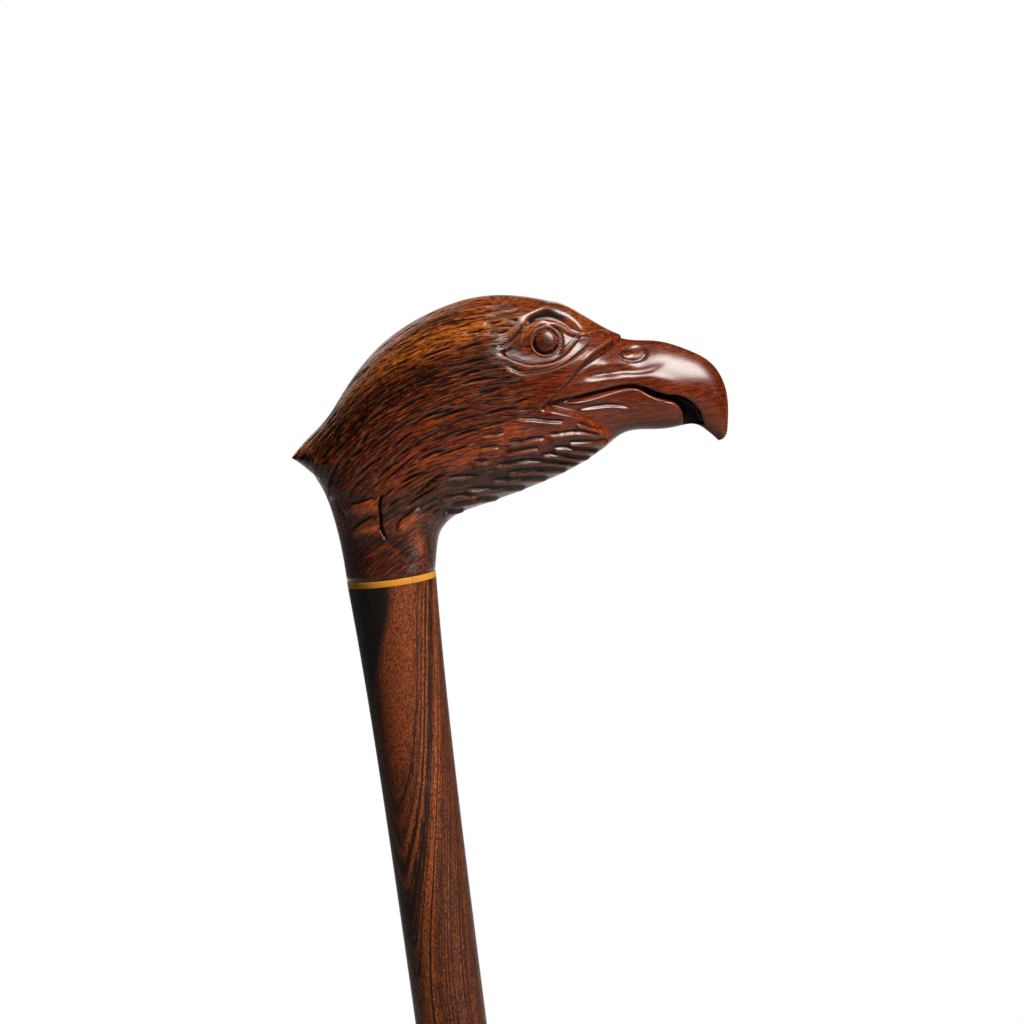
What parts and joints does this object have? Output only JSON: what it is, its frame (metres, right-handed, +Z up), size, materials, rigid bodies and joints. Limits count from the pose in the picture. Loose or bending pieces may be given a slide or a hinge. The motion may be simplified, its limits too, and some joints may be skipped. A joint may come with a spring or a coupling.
{
  "type": "walking cane",
  "caption": "Wooden walking cane: a tapered round shaft with a carved eagle-head handle, a pale collar ring and a push-on rubber tip.",
  "frame": {"origin": "the middle of the rubber tip's sole, on the shaft's axis, where the cane stands", "axes": "+Z up along the shaft, +X the way the beak points, Y across the head, which is the same on both sides"},
  "size_m": [0.1254, 0.0382, 0.9144],
  "materials": {
    "carved_hardwood": "dark red-brown figured hardwood, carved, gloss varnish",
    "ring_boxwood": "golden close-grained wood, turned, gloss varnish",
    "stud_steel": "plain steel, rolled thread",
    "shaft_hardwood": "orange-brown straight-grained hardwood, turned, gloss varnish",
    "rubber": "moulded black rubber, matt",
    "zinc_plated_steel": "punched disc, zinc plated"
  },
  "bodies": {
    "foot": {"rubber_tip": "rubber", "tip_washer": "zinc_plated_steel"},
    "cane": {"shaft": "shaft_hardwood", "spacer_ring": "ring_boxwood", "joining_stud": "stud_steel", "eagle_handle": "carved_hardwood"}
  },
  "joints": [
    {"name": "cane_out_of_tip", "type": "slide", "parent": "foot", "child": "cane", "axis": [0, 0, 1], "range_m": [0, 0.03]}
  ]
}
